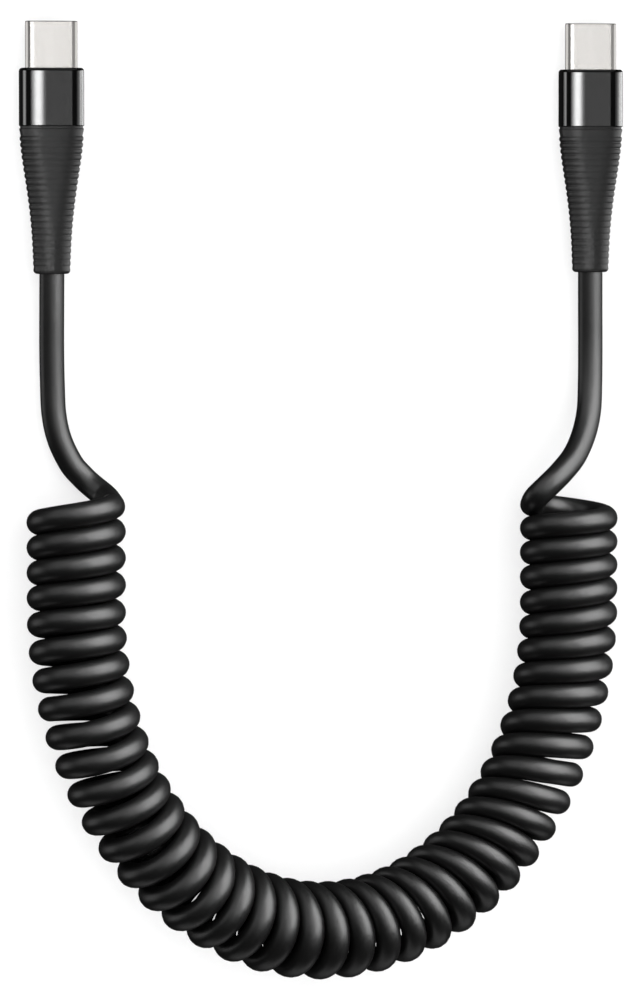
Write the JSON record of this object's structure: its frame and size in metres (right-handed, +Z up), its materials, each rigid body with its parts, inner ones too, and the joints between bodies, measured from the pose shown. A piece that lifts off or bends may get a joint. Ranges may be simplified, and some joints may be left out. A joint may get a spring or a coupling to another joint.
{
  "type": "coiled usb c cable",
  "caption": "Curly charging cable lying in a U, with a straight lead, a ribbed strain relief and a USB-C plug at each end.",
  "frame": {"origin": "middle of the cable's outline, on the surface it lies on", "axes": "+Y from the coil towards the plugs' tips, +X from the left plug to the right one, +Z up from the surface"},
  "size_m": [0.0966, 0.1506, 0.0155],
  "materials": {
    "cord": "satin black jacket",
    "boot": "matte black, ribbed",
    "housing": "polished black",
    "shell": "satin nickel plate",
    "insulator": "moulded black",
    "contact": "gold plate"
  },
  "bodies": {
    "root": {"coil": "cord", "left_lead": "cord", "right_lead": "cord", "left_boot": "boot", "right_boot": "boot", "left_housing": "housing", "right_housing": "housing", "left_shell": "shell", "right_shell": "shell", "left_insulator": "insulator", "right_insulator": "insulator", "left_contacts_upper": "contact", "left_contacts_lower": "contact", "right_contacts_upper": "contact", "right_contacts_lower": "contact"}
  },
  "joints": []
}
